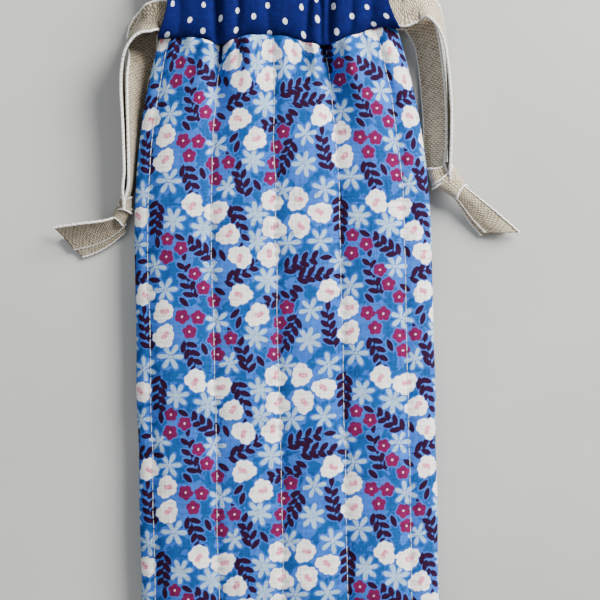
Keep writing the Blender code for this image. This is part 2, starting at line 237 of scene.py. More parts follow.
def cotton(name, printed):
    """Woven printed cotton. printed(nodes, cloth) returns its colour."""
    nodes = Nodes(name)
    cloth = nodes.attribute("cloth")
    colour = printed(nodes, cloth)
    threads = weave(nodes, cloth, COTTON_PITCH)
    fibre = nodes.noise(cloth, 2600, 3)
    patchy = nodes.noise(cloth, 260, 3)
    warp = nodes.noise(nodes.scaled(cloth, (1, 0.06, 0)), 1500, 1)
    weft = nodes.noise(nodes.scaled(cloth, (0.06, 1, 0)), 1500, 1)
    slubs = nodes.plus(warp, weft)
    # Darker where the weave's threads lie low: painted shade. Slubs, fibres and patches then add random
    # tone.
    shade = nodes.ranged(threads, 0.22, 0.83)
    shade = nodes.times(shade, nodes.ranged(slubs, 0.85, 0.15))
    shade = nodes.times(shade, nodes.ranged(fibre, 0.22, 0.89))
    shade = nodes.times(shade, nodes.ranged(patchy, 0.16, 0.92))
    crumple = nodes.bump(nodes.noise(cloth, 150, 4, 0.6), 0.45 * MM, 0.5)
    woven = nodes.bump(threads, 0.10 * MM, 0.55, crumple)
    nodes.surface(nodes.shaded(colour, shade), nodes.bump(fibre, 0.08 * MM, 0.5, woven),
                  roughness=0.88, specular=0.12, sheen=0.02, sheen_roughness=0.5)
    return nodes.material


def floral(nodes, cloth):
    """The floral print, from the distances to its shapes that the mesh carries, in millimetres."""
    teal, pale, rose = nodes.parts(nodes.attribute("print_a"))[:3]
    pink, wine, berry = nodes.parts(nodes.attribute("print_b"))[:3]
    dots, veins, petals = nodes.parts(nodes.attribute("print_c"))[:3]
    ragged = nodes.ranged(nodes.noise(cloth, 2200, 2), 0.22, -0.11)

    def inside(distance, soft=0.07):
        moved = nodes.plus(distance, ragged)
        return nodes.step(moved, -soft, soft, 1.0, 0.0)

    mottled = nodes.noise(cloth, 700, 3)
    ground = nodes.mix(nodes.step(mottled, 0.35, 0.7), GROUND, GROUND_LIGHTER)
    leafy = nodes.mix(nodes.step(nodes.noise(cloth, 1100, 3), 0.35, 0.65), TEAL, TEAL_LIGHTER)
    colour = nodes.mix(nodes.times(inside(teal, 0.10), 0.95), ground, leafy)
    colour = nodes.mix(inside(pale), colour, PALE)
    colour = nodes.mix(nodes.times(inside(veins), 0.7), colour, VEIN)
    colour = nodes.mix(inside(wine), colour, WINE)
    colour = nodes.mix(inside(berry), colour, BERRY)
    colour = nodes.mix(inside(rose), colour, CREAM)
    colour = nodes.mix(nodes.times(inside(petals), 0.55), colour, ROSE_SHADE)
    pinkish = nodes.mix(nodes.step(nodes.noise(cloth, 1500, 2), 0.4, 0.62), PINK, PINK_LIGHTER)
    colour = nodes.mix(inside(pink), colour, pinkish)
    return nodes.mix(inside(dots), colour, BERRY_HEART)


def spotted(nodes, cloth):
    """The spotted print, from the distance to its spots that the mesh carries, in millimetres."""
    spots = nodes.parts(nodes.attribute("print_a"))[0]
    ragged = nodes.ranged(nodes.noise(cloth, 2200, 2), 0.16, -0.08)
    moved = nodes.plus(spots, ragged)
    ground = nodes.mix(nodes.step(nodes.noise(cloth, 500, 3), 0.35, 0.7), NAVY, NAVY_LIGHTER)
    return nodes.mix(nodes.step(moved, -0.07, 0.07, 1.0, 0.0), ground, SPOT)


def linen(name, shade):
    """Coarse woven tape. The mesh carries cloth = (across, along) and a selvedge share."""
    nodes = Nodes(name)
    # shade scales both tape colours; the left drawstring's darker copy is painted shade.
    dark = tuple(shade * c for c in TAPE_DARK)
    light = tuple(shade * c for c in TAPE_LIGHT)
    cloth = nodes.attribute("cloth")
    across, along, edge = nodes.parts(cloth)[:3]
    slow = nodes.noise(nodes.scaled(cloth, (0.3, 1, 0)), 500, 2)
    drift = nodes.ranged(slow, 1.6, -0.8)
    u = nodes.plus(nodes.times(across, math.pi / TAPE_WARP), drift)
    wobble = nodes.ranged(nodes.noise(cloth, 420, 2), 1.8, -0.9)
    v = nodes.plus(nodes.times(along, math.pi / TAPE_WEFT), wobble)
    over = nodes.times(nodes.math("SINE", u), nodes.math("SINE", v))
    rib = nodes.math("ABSOLUTE", nodes.math("SINE", v))
    high = nodes.plus(nodes.ranged(over, 0.26, 0.28), nodes.times(rib, 0.46))
    fibre = nodes.noise(nodes.scaled(cloth, (1, 0.35, 0)), 4200, 3)
    tone = nodes.ranged(nodes.math("SUBTRACT", fibre, 0.5), 0.9, high)
    tone = nodes.plus(tone, nodes.ranged(nodes.noise(cloth, 500, 2), 0.5, -0.25))
    # The weave's low places and the darker fibres take the dark colour: painted shade in the weave's
    # hollows, and random fibre tone.
    woven = nodes.mix(nodes.step(tone, 0.12, 0.88), dark, light)
    # The selvedge turns greyer between the weft's loops: painted shade.
    nub = nodes.math("SINE", nodes.times(along, 2 * math.pi / TAPE_WEFT))
    white = nodes.mix(nodes.ranged(nub, 0.12, 0.14), SELVEDGE, SELVEDGE_SHADE)
    rough = nodes.bump(high, 0.22 * MM, 0.9)
    nodes.surface(nodes.mix(nodes.step(edge, 0.35, 0.65), woven, white),
                  nodes.bump(fibre, 0.12 * MM, 0.6, rough), roughness=0.9, specular=0.2, sheen=0.1)
    return nodes.material


def thread_material(name, colour):
    """Twisted thread, whose mesh carries cloth = (0, along)."""
    nodes = Nodes(name)
    along = nodes.parts(nodes.attribute("cloth"))[1]
    twist = nodes.math("SINE", nodes.times(along, 2 * math.pi / (0.4 * MM)))
    # Darker in the twist's grooves: painted shade.
    nodes.surface(nodes.shaded(colour, nodes.ranged(twist, 0.08, 0.92)),
                  nodes.bump(twist, 0.04 * MM, 0.6), roughness=0.6)
    return nodes.material


def wadding_material():
    nodes = Nodes("wadding")
    fluff = nodes.noise(nodes.attribute("cloth"), 900, 4)
    nodes.surface((0.82, 0.81, 0.77), nodes.bump(fluff, 0.5 * MM, 0.8), roughness=1.0)
    return nodes.material


# ---------------------------------------------------------------- the prints

TILE = (58.0, 55.0)  # the floral print repeats after this many millimetres across and along
SPOT_TILE = (39.0, 39.0)
SPOT_TURN = 0.5  # radians


def around(points, centre, tile):
    """Points relative to centre, taking the nearest copy of a repeating tile."""
    x = (points[0] - centre[0] + tile[0] / 2) % tile[0] - tile[0] / 2
    y = (points[1] - centre[1] + tile[1] / 2) % tile[1] - tile[1] / 2
    return x, y


def turned(x, y, angle):
    c, s = math.cos(angle), math.sin(angle)
    return x * c + y * s, -x * s + y * c


def leaf_shape(x, y, length, width):
    """Distance to a pointed leaf that starts at 0,0 and runs along +x."""
    x = x - length / 2
    radius = (length**2 / 4 + width**2 / 4) / width
    return np.maximum(np.hypot(x, y - (radius - width / 2)),
                      np.hypot(x, y + (radius - width / 2))) - radius


def folded(x, y, count):
    """The plane folded into one sector, as (along, across) of the nearest of count petals."""
    turn = np.arctan2(y, x)
    step = 2 * math.pi / count
    turn = (turn + step / 2) % step - step / 2
    r = np.hypot(x, y)
    return r * np.cos(turn), r * np.sin(turn)


class Print:
    """Fields of distances, in millimetres, over one tile of the print."""

    def __init__(self, tile, names, pitch=0.2):
        self.tile = tile
        self.size = [round(tile[0] / pitch), round(tile[1] / pitch)]
        xs = (np.arange(self.size[0]) + 0.5) * tile[0] / self.size[0]
        ys = (np.arange(self.size[1]) + 0.5) * tile[1] / self.size[1]
        self.points = np.meshgrid(xs, ys, indexing="ij")
        self.fields = {name: np.full(self.size, 9.0) for name in names}

    def seen_from(self, centre, angle=0.0):
        """The tile's points relative to a centre, in axes turned by angle."""
        return turned(*around(self.points, centre, self.tile), angle)

    def add(self, name, distance):
        np.minimum(self.fields[name], distance, out=self.fields[name])

    def sample(self, name, u, v):
        """The field at places in millimetres, smoothly between its points."""
        field = self.fields[name]
        nx, ny = self.size
        x = (u / self.tile[0] % 1) * nx - 0.5
        y = (v / self.tile[1] % 1) * ny - 0.5
        i, j = np.floor(x).astype(int), np.floor(y).astype(int)
        fx, fy = x - i, y - j
        i, j = i % nx, j % ny
        i2, j2 = (i + 1) % nx, (j + 1) % ny
        return (field[i, j] * (1 - fx) * (1 - fy) + field[i2, j] * fx * (1 - fy)
                + field[i, j2] * (1 - fx) * fy + field[i2, j2] * fx * fy)


def rose(pattern, centre, radius, angle, rng):
    """A white rose with uneven lobes and a small pink heart."""
    x, y = pattern.seen_from(centre, angle)
    r, turn = np.hypot(x, y), np.arctan2(y, x)
    lobes = int(rng.choice((5, 5, 6)))
    edge = 0.76 + 0.24 * np.abs(np.cos(turn * lobes / 2)) ** 0.6
    edge -= 0.10 * np.exp(-((((turn * lobes / (2 * math.pi)) + 0.5) % 1 - 0.5) / 0.10) ** 2)
    edge += 0.09 * np.sin(turn * 2 + rng.uniform(0, 6)) + 0.08 * np.sin(turn * 3 + rng.uniform(0, 6))
    pattern.add("rose", r - radius * edge)
    along, across = folded(x * math.cos(math.pi / lobes) + y * math.sin(math.pi / lobes),
                           -x * math.sin(math.pi / lobes) + y * math.cos(math.pi / lobes), lobes)
    between = np.maximum(0.42 * radius - r, r - 0.9 * radius)
    pattern.add("petals", np.maximum(np.abs(across) - 0.10, between))
    ox, oy = x - 0.14 * radius, y + 0.05 * radius
    bean = np.minimum(np.hypot(ox + 0.50, oy - 0.28) - 0.98, np.hypot(ox - 0.55, oy + 0.14) - 0.90)
    pattern.add("pink", np.maximum(bean, 0.50 - np.hypot(ox - 0.05, oy - 1.1)))


def daisy(pattern, centre, radius, angle, rng):
    """A pale flower with separate petals, each with a vein."""
    x, y = pattern.seen_from(centre, angle)
    along, across = folded(x, y, int(rng.choice((6, 6, 7))))
    share = along / radius
    half = 0.178 * radius * (0.55 + 0.75 * np.clip(share, 0, 1))
    petal = np.hypot((along - 0.56 * radius) / (0.45 * radius), across / half) - 1
    pattern.add("pale", petal * 0.22 * radius)
    vein = np.maximum(np.abs(across) - 0.13, np.maximum(0.2 * radius - along, along - 0.80 * radius))
    pattern.add("veins", vein)
    pattern.add("veins", np.hypot(x, y) - 0.48)


def berry(pattern, centre, radius, angle):
    """A small dark flower with five notched petals and a pale dot."""
    x, y = pattern.seen_from(centre, angle)
    along, across = folded(x, y, 5)
    petal = np.hypot(along - 0.56 * radius, across) - 0.42 * radius
    notch = 0.12 - np.hypot(along - 0.98 * radius, across)
    pattern.add("berry", np.maximum(petal, notch))
    pattern.add("berry", np.hypot(x, y) - 0.4 * radius)
    pattern.add("dots", np.hypot(x, y) - 0.42)


def sprig(pattern, layer, centre, angle, leaves, length, width, gap, bend):
    """A curved stem with leaves in pairs and one at its tip, drawn on a layer."""
    x, y = pattern.seen_from(centre, angle)
    total = gap * (leaves / 2 + 0.6)
    curve = bend * (x + total / 2) ** 2
    pattern.add(layer, np.maximum(np.abs(y - curve) - 0.15, np.abs(x) - total / 2))
    for n in range(leaves):
        place = -total / 2 + gap * (n // 2 + 0.55 + 0.28 * (n % 2))
        base = bend * (place + total / 2) ** 2
        slope = math.atan(2 * bend * (place + total / 2))
        lean = slope + (0.72 if n % 2 else -0.72)
        size = length * (1 - 0.07 * (n // 2))
        pattern.add(layer, leaf_shape(*turned(x - place, y - base, lean), size, width))
    base = bend * total**2
    slope = math.atan(2 * bend * total)
    pattern.add(layer, leaf_shape(*turned(x - total / 2 + 0.3, y - base, slope), length, width))


# How many clusters of each flower one tile holds, and how many flowers each has.
CLUSTERS = (("rose", 3.75, (4, 3, 3, 2, 3)), ("berry", 2.35, (3, 3, 4, 3, 3)))


def floral_print():
    """A scattered print of roses, daisies, berry flowers and leaves, in loose clusters."""
    rng = np.random.default_rng(23)
    solid = ("rose", "berry", "wine", "pale")
    pattern = Print(TILE, solid + ("teal", "pink", "dots", "veins", "petals"))

    def anywhere():
        return rng.uniform(0, TILE[0]), rng.uniform(0, TILE[1])

    def room(x, y, names=solid):
        """Distance, in millimetres, from a place to the nearest shape drawn so far."""
        return min(float(pattern.sample(name, np.array(x), np.array(y))) for name in names)

    placed = []

    def gap(x, y, others):
        """Distance from a place to the nearest of some circles, given as (x, y, radius)."""
        return min([math.hypot(*around((x, y), (cx, cy), TILE)) - r for cx, cy, r in others] + [99])

    centres = []
    for kind, radius, sizes in CLUSTERS:
        for size in sizes:
            tries = [anywhere() for _ in range(60)]
            centre = max(tries, key=lambda t: gap(*t, centres))
            centres.append((*centre, radius * (1.0 + 0.42 * size)))
            members = [centre]
            for _ in range(4000):
                if len(members) == size:
                    break
                near = members[rng.integers(len(members))]
                turn = rng.uniform(0, 2 * math.pi)
                reach = radius * rng.uniform(2.04, 2.3)
                x, y = near[0] + reach * math.cos(turn), near[1] + reach * math.sin(turn)
                clear = gap(x, y, placed) > radius * 1.02
                if clear and gap(x, y, [(*m, 0) for m in members]) > radius * 2.0:
                    members.append((x, y))
            for member in members:
                placed.append((*member, radius))
                if kind == "rose":
                    rose(pattern, member, radius * rng.uniform(0.93, 1.04), rng.uniform(0, 6.3), rng)
                else:
                    berry(pattern, member, radius * rng.uniform(0.92, 1.08), rng.uniform(0, 6.3))

    def scatter_sprigs(tries, most, leaves, length, width, pitch, spare, apart):
        """Up to most sprigs, each at least spare from any shape and apart from other leaves."""
        made = 0
        total = pitch * (leaves / 2 + 0.6) + length * 0.8
        for _ in range(tries):
            (x, y), angle = anywhere(), rng.uniform(0, 2 * math.pi)
            spots = np.linspace(-0.5, 0.5, 5) * total
            line = [(x + k * math.cos(angle), y + k * math.sin(angle)) for k in spots]
            if made < most and all(room(*at) > spare and room(*at, ("wine",)) > apart for at in line):
                sprig(pattern, "wine", (x, y), angle, leaves, length, width, pitch,
                      rng.uniform(-0.035, 0.035))
                made += 1

    def scatter_daisies(tries, most, radius, spare):
        """Up to most daisies. spare is the room a centre needs, as a share of the radius."""
        made = 0
        for _ in range(tries):
            x, y = anywhere()
            if made < most and room(x, y) > spare * radius and room(x, y, ("veins",)) > 1.05 * radius:
                daisy(pattern, (x, y), radius * rng.uniform(0.92, 1.06), rng.uniform(0, 6.3), rng)
                made += 1

    scatter_sprigs(6000, 15, 8, 4.2, 1.75, 2.75, 1.1, 3.4)
    scatter_daisies(6000, 22, 4.15, 0.66)
    scatter_sprigs(8000, 24, 4, 4.6, 2.1, 2.9, 0.85, 2.8)
    scatter_daisies(5000, 12, 3.7, 0.58)
    for _ in range(9000):
        (x, y), angle = anywhere(), rng.uniform(0, 2 * math.pi)
        dx, dy = math.cos(angle), math.sin(angle)
        if all(room(x + k * dx, y + k * dy) > 1.15 for k in (-1.9, 0, 1.9)):
            stalk = (x - 2.2 * dx, y - 2.2 * dy)
            pattern.add("wine", leaf_shape(*pattern.seen_from(stalk, angle), 4.4, 1.85))
    for _ in range(110):
        sprig(pattern, "teal", anywhere(), rng.uniform(0, 2 * math.pi), 12, 3.0, 1.05, 1.35,
              rng.uniform(-0.04, 0.04))
    edge = np.minimum.reduce([pattern.fields[name] for name in solid])
    pattern.fields["teal"] = np.maximum(pattern.fields["teal"], 0.32 - edge)
    for name, others in (("wine", ("rose", "berry")), ("pale", ("rose", "berry", "wine"))):
        blocked = np.minimum.reduce([pattern.fields[other] for other in others])
        pattern.fields[name] = np.maximum(pattern.fields[name], 0.22 - blocked)
        if name == "pale":
            pattern.fields["veins"] = np.maximum(pattern.fields["veins"], 0.3 - blocked)
    return pattern


def spot_print():
    """Small round spots in staggered rows, none quite in its place."""
    rng = np.random.default_rng(5)
    pattern = Print(SPOT_TILE, ("spots",), 0.14)
    across, down = 5, 6
    for j in range(down):
        for i in range(across):
            x = (i + 0.5 * (j % 2) + rng.uniform(-0.15, 0.15)) * SPOT_TILE[0] / across
            y = (j + rng.uniform(-0.2, 0.2)) * SPOT_TILE[1] / down
            radius = 0.98 * rng.uniform(0.93, 1.06)
            pattern.add("spots", np.hypot(*pattern.seen_from((x, y))) - radius)
    return pattern


def set_vectors(obj, name, *columns):
    """Stores up to three columns of numbers on obj's vertices, for its material to read."""
    count = len(obj.data.vertices)
    values = np.zeros((count, 3), np.float32)
    for n, column in enumerate(columns):
        values[:, n] = np.asarray(column, np.float32).ravel()
    made = obj.data.attributes.new(name, "FLOAT_VECTOR", "POINT")
    made.data.foreach_set("vector", values.ravel())


def print_floral(obj, pattern, u, v):
    """Gives obj its cloth places and the floral print's distances. u and v are in metres."""
    set_vectors(obj, "cloth", u, v)
    places = (np.ravel(u) / MM, np.ravel(v) / MM)
    for name, layers in (("print_a", ("teal", "pale", "rose")), ("print_b", ("pink", "wine", "berry")),
                         ("print_c", ("dots", "veins", "petals"))):
        set_vectors(obj, name, *(pattern.sample(layer, *places) for layer in layers))


def print_spots(obj, pattern, u, v):
    """The same for the spotted print, which runs at an angle to the weave."""
    set_vectors(obj, "cloth", u, v)
    across, along = turned(np.ravel(u) / MM, np.ravel(v) / MM, -SPOT_TURN)
    set_vectors(obj, "print_a", pattern.sample("spots", across, along))


# ---------------------------------------------------------------- the pouch's shape

OUTER = [np.array(corner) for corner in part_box("outer_front")]
OUTER_BACK = [np.array(corner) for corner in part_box("outer_back")]
HALF_WIDTH = OUTER[1][0]
BOTTOM_Y, SEAM_Y = OUTER[0][1], OUTER[1][1]
MID_Z = (OUTER[0][2] + OUTER_BACK[1][2]) / 2
CASING = [np.array(corner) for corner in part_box("casing_front")]
CASING_BACK = [np.array(corner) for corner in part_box("casing_back")]
TOP_Y = CASING[1][1]
TAPER = 68 * MM  # how far below the seam the pouch starts to narrow
SEAM_HALF = 38 * MM  # half its width at the seam
QUILT_X = np.array([-42.5, -22.3, -2.1, 18.1, 38.3]) * MM
FULL = 5.6 * MM  # how far the front fabric stands above the mid plane
BACK_FULL = FULL - 0.3 * MM
STITCH = 3.0 * MM


def smooth_noise(x, y, pitch, seed):
    """Smooth random values, about -1 to 1, that change over a distance of pitch."""
    table = np.random.default_rng(seed).uniform(-1, 1, (64, 64))
    gx, gy = x / pitch + 100.5, y / pitch + 100.5
    i, j = np.floor(gx).astype(int), np.floor(gy).astype(int)
    fx, fy = gx - i, gy - j
    fx, fy = fx * fx * (3 - 2 * fx), fy * fy * (3 - 2 * fy)
    i, j, i2, j2 = i % 64, j % 64, (i + 1) % 64, (j + 1) % 64
    return (table[i, j] * (1 - fx) * (1 - fy) + table[i2, j] * fx * (1 - fy)
            + table[i, j2] * (1 - fx) * fy + table[i2, j2] * fx * fy)


def outline(y):
    """Half the pouch's width at y, as the CAD has it, with softer bottom corners."""
    rise = np.clip(6 * MM - (y - BOTTOM_Y), 0, 6 * MM)
    inset = 6 * MM - np.sqrt(np.maximum(0, (6 * MM) ** 2 - rise**2))
    gathered = np.clip((y - SEAM_Y + TAPER) / TAPER, 0, 1)
    return HALF_WIDTH - inset - (HALF_WIDTH - SEAM_HALF) * gathered**2.2


def edge_wander(y, side):
    """The side edges aren't ruled: they wander a little."""
    return 0.35 * MM * smooth_noise(y, side * 0.05 + 0 * y, 19 * MM, 21)


# Pleats that the drawstrings pull into the seam: (across on the full width, depth, half width,
# how far down they run, lean), in millimetres.
PLEATS = ((-22.6, 5.6, 2.0, 19, 0.03), (9.5, 2.0, 1.8, 12, -0.10), (17.8, 5.8, 2.2, 25, 0.02),
          (31.5, 1.6, 2.6, 13, 0.05), (-37.5, 1.3, 2.4, 13, -0.05), (-8.0, 0.8, 2.0, 9, 0.04))

# Smaller gathers and ridges between the pleats, in the same terms; a negative depth is a ridge.
GATHERS = ((-44, 0.8, 1.8, 16, -0.06), (-40.5, -0.6, 2.2, 20, -0.05), (-31.5, 0.7, 1.4, 18, -0.04),
           (-27.5, -0.9, 1.8, 22, 0.02), (-15.5, 0.8, 1.5, 20, 0.06), (-12, -0.6, 2.0, 16, 0.0),
           (-4.5, 0.7, 1.3, 24, -0.03), (1.5, -0.7, 2.2, 20, 0.02), (5.5, 0.8, 1.2, 16, -0.08),
           (13.5, -0.9, 1.3, 18, 0.04), (22.5, 0.8, 1.4, 26, 0.05), (26.5, -0.9, 2.2, 22, 0.04),
           (36.5, 0.7, 1.5, 18, 0.06), (41.5, -0.6, 1.8, 14, 0.08))


def pleats(x, y):
    """How far the pleats draw the fabric in at x on the full width."""
    below = np.clip(SEAM_Y - y, 0, 1)
    total = np.zeros(np.broadcast(x, y).shape)
    for place, deep, wide, run, lean in PLEATS:
        middle = place * MM + lean * below + 0.5 * MM * smooth_noise(y, 0 * y, 9 * MM, 31)
        spread = wide * MM * (1 + below / (run * MM) * 1.1)
        fading = np.exp(-((below / (run * MM)) ** 1.4))
        total += deep * MM * np.exp(-((x - middle) / spread) ** 2) * fading
    for place, deep, wide, run, lean in GATHERS:
        middle = place * MM + lean * below
        ridge = np.exp(-((x - middle) / (wide * MM * (1 + below / (run * MM)))) ** 2)
        total += deep * MM * ridge * np.exp(-((below / (run * MM)) ** 1.6))
    return total


def swell(x, y):
    """The fabric between the pleats stands up next to the seam."""
    below = np.clip(SEAM_Y - y, 0, 1)
    total = np.zeros(np.broadcast(x, y).shape)
    for place, high, wide in ((-30, 1.0, 6.0), (-8, 1.5, 9.0), (14, 0.9, 3.0), (26, 1.5, 6.5)):
        total += high * MM * np.exp(-((x / MM - place) / wide) ** 2)
    return total * np.exp(-((below / (16 * MM)) ** 1.5)) * np.clip(below / (2 * MM) + 0.25, 0, 1)


def seam_line(x):
    """Where the casing's seam runs, off the CAD's straight line: lower at the pleats."""
    dip = -2.3 * np.exp(-((x / MM + 18.5) / 5.0) ** 2) - 3.3 * np.exp(-((x / MM - 13.5) / 9.0) ** 2)
    rise = 0.3 * np.exp(-((x / MM + 3.0) / 6.0) ** 2) + 1.9 * np.exp(-((x / MM - 33.0) / 8.0) ** 2)
    return (dip + rise + 0.2) * MM


def quilting_x(line, y):
    """Across, on the full width, where a line of quilting runs: hand guided, so not quite straight."""
    seed = int(round((line + 0.05) * 1000))
    slow = 0.28 * MM * smooth_noise(y, 0 * y + line, 14 * MM, seed)
    return line + slow + 0.12 * MM * smooth_noise(y, 0 * y - line, 4 * MM, seed + 1)


def quilt(x, y):
    """(how far the stitches draw the fabric in, how far it puffs up between them)."""
    drawn = np.zeros(np.broadcast(x, y).shape)
    near = np.full(drawn.shape, 1.0)
    for n, line in enumerate(QUILT_X):
        gap = np.abs(x - quilting_x(line, y))
        near = np.minimum(near, gap)
        held = 0.78 + 0.22 * np.cos(2 * math.pi * y / STITCH + n * 1.7)
        drawn += 0.80 * MM * held * np.exp(-((gap / (1.5 * MM)) ** 1.5))
        ripple = smooth_noise(y, x * 0.35, 3.1 * MM, 50 + n)
        ripple += 0.6 * smooth_noise(y, x * 0.2, 6.5 * MM, 60 + n)
        drawn += 0.24 * MM * ripple * np.exp(-((gap / (4.6 * MM)) ** 1.6))
    inside = np.clip(near / (10.1 * MM), 0, 1)
    return drawn, 1.0 * MM * np.sin(inside * math.pi / 2)


def crossing(x, y):
    """Low cross folds where the quilted fabric has been bent."""
    slow = smooth_noise(x * 0.55, y, 17 * MM, 71) + 0.5 * smooth_noise(x * 0.7, y, 8 * MM, 72)
    ridge = np.exp(-((y - 34 * MM - 0.10 * x) / (3.2 * MM)) ** 2) * 0.5
    ridge -= np.exp(-((y + 42 * MM + 0.16 * x) / (3.6 * MM)) ** 2) * 0.45
    return 0.42 * MM * slow + 0.6 * MM * ridge


def shell(x, y, power=5.0):
    """From 0 at the sewn edges to 1 inside them. x is on the full width."""
    across = np.clip(np.abs(x) / HALF_WIDTH, 0, 1) ** power
    bend = 30 * MM
    along = np.clip((BOTTOM_Y + bend - y) / bend, 0, 1) ** (power * 0.8)
    return np.sqrt(np.clip((1 - across) * (1 - along), 0, 1))


def front_height(x, y, fine=True):
    """Top of the front fabric above the mid plane; fine adds the quilting."""
    body = shell(x, y)
    drawn, puffed = quilt(x, y) if fine else (0, 0)
    high = FULL * body + (puffed - drawn + crossing(x, y)) * body**0.6
    high += (swell(x, y) - pleats(x, y)) * np.clip(body * 1.3, 0, 1)
    return high


def back_height(x, y):
    """How far the back fabric lies below the mid plane."""
    drawn, puffed = quilt(x, -y)
    body = shell(x, y)
    high = BACK_FULL * body + (puffed * 0.3 - drawn * 1.1) * body**0.6
    return np.minimum(high, MID_Z - 0.05 * MM)


def arc_spaced(places, heights, count):
    """count values of places, evenly spaced along the curve that heights makes over them."""
    run = np.concatenate([[0], np.cumsum(np.hypot(np.diff(places), np.diff(heights)))])
    return np.interp(np.linspace(0, run[-1], count), run, places), np.linspace(0, run[-1], count)


def grid_quads(rows, columns, flip=False):
    """The faces of a sheet of points."""
    index = np.arange(rows * columns).reshape(rows, columns)
    quads = np.stack([index[:-1, :-1], index[:-1, 1:], index[1:, 1:], index[1:, :-1]], -1)
    quads = quads.reshape(-1, 4)
    return quads[:, ::-1] if flip else quads


def tube_quads(rows, columns, flip=False):
    """The faces of a tube of points: each row closes on itself."""
    index = np.arange(rows * columns).reshape(rows, columns)
    after = np.roll(index, -1, axis=1)
    quads = np.stack([index[:-1], after[:-1], after[1:], index[1:]], -1).reshape(-1, 4)
    return quads[:, ::-1] if flip else quads


def add_thickness(obj, thickness):
    """Gives a sheet real thickness, on its inner side."""
    solid = obj.modifiers.new("thickness", "SOLIDIFY")
    solid.thickness = thickness
    solid.offset = -1


def panel_grid(pitch, top, edge=1.0):
    """(x on the full width, y, run across, run along) for a wall, evenly spaced over its curve."""
    dense = HALF_WIDTH * edge * np.sin(np.linspace(-math.pi / 2, math.pi / 2, 1501))
    high = FULL * shell(dense, np.zeros(1501))
    xs, us = arc_spaced(dense, high, int(HALF_WIDTH * 2 / pitch))
    start = BOTTOM_Y * edge
    rise = start + (1 - np.cos(np.linspace(0, math.pi / 2, 1501))) * (top - start)
    ys, vs = arc_spaced(rise, FULL * shell(np.zeros(1501), rise), int((top - start) / pitch))
    return xs, ys, us - us[-1] / 2, vs


def wall_panel(name, pitch, side, material, height, printer, edge=1.0, top=0.0, thick=0.0):
    """One wall of the pouch as a sheet. side is 1 for the front and -1 for the back."""
    xs, ys, us, vs = panel_grid(pitch, SEAM_Y + top, edge)
    x, y = np.meshgrid(xs, ys)
    u, v = np.meshgrid(us, vs)
    near_seam = np.clip((y - SEAM_Y + 30 * MM) / (30 * MM), 0, 1)
    width = outline(y) / HALF_WIDTH
    real_x = x * width + edge_wander(y, 1.0) * np.sign(x) * np.abs(x / HALF_WIDTH) ** 6
    real_y = y + seam_line(real_x) * near_seam**2.2
    real_z = MID_Z + side * height(x, y)
    points = np.stack([real_x, real_y, real_z], -1)
    made = mesh_object(name, points, grid_quads(len(ys), len(xs), flip=side < 0))
    if thick:
        add_thickness(made, thick)
    made.data.materials.append(material)
    printer(made, u, v)
    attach(made, "pouch")
    return made


def stitched_line(name, line, side, material):
    """A line of lock stitch down the quilting, each stitch dipping into the fabric at its ends."""
    ring, segments = 6, 7
    start = BOTTOM_Y + 3.2 * MM
    count = int((SEAM_Y - 0.5 * MM - start) / STITCH)
    rng = np.random.default_rng(int(round((line + 0.05) * 1000)) + (7 if side > 0 else 0))
    points, faces, places = [], [], []
    for n in range(count):
        low = start + n * STITCH + rng.uniform(-0.12, 0.12) * MM
        share = np.linspace(0.06, 0.93, segments)
        y = low + share * STITCH
        x = quilting_x(line, y if side > 0 else -y)
        z = front_height(x, y) if side > 0 else back_height(x, y)
        lift = 0.20 * MM * np.sin(share * math.pi) ** 0.5 - 0.06 * MM
        radius = 0.115 * MM * (0.75 + 0.25 * np.sin(share * math.pi))
        width = outline(y) / HALF_WIDTH
        near = np.clip((y - SEAM_Y + 30 * MM) / (30 * MM), 0, 1)
        px = x * width
        py = y + seam_line(px) * near**2.2
        for k in range(segments):
            for m in range(ring):
                turn = 2 * math.pi * m / ring
                points.append((px[k] + radius[k] * math.cos(turn), py[k],
                               MID_Z + side * (z[k] + lift[k] + radius[k] * math.sin(turn))))
                places.append((0, py[k]))
        base = n * ring * segments
        for k in range(segments - 1):
            for m in range(ring):
                a, b = base + k * ring + m, base + k * ring + (m + 1) % ring
                faces.append((a, b, b + ring, a + ring) if side > 0 else (a, a + ring, b + ring, b))
    points = np.array(points)
    if side < 0:
        points[:, 2] = np.maximum(points[:, 2], 0.02 * MM)
    made = mesh_object(name, points, faces)
    made.data.materials.append(material)
    places = np.array(places)
    set_vectors(made, "cloth", places[:, 0], places[:, 1])
    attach(made, "pouch")
    return made


# ---------------------------------------------------------------- casings


def casing_half(y):
    """Half the casing's width at y: narrower between its two edges."""
    high = np.clip((y - (SEAM_Y + TOP_Y) / 2) / (TOP_Y - SEAM_Y) * 2, -1.2, 1.2)
    ends = np.where(high < 0, 1.0, 0.95)
    return SEAM_HALF * (0.91 + (ends - 0.91) * high**2)


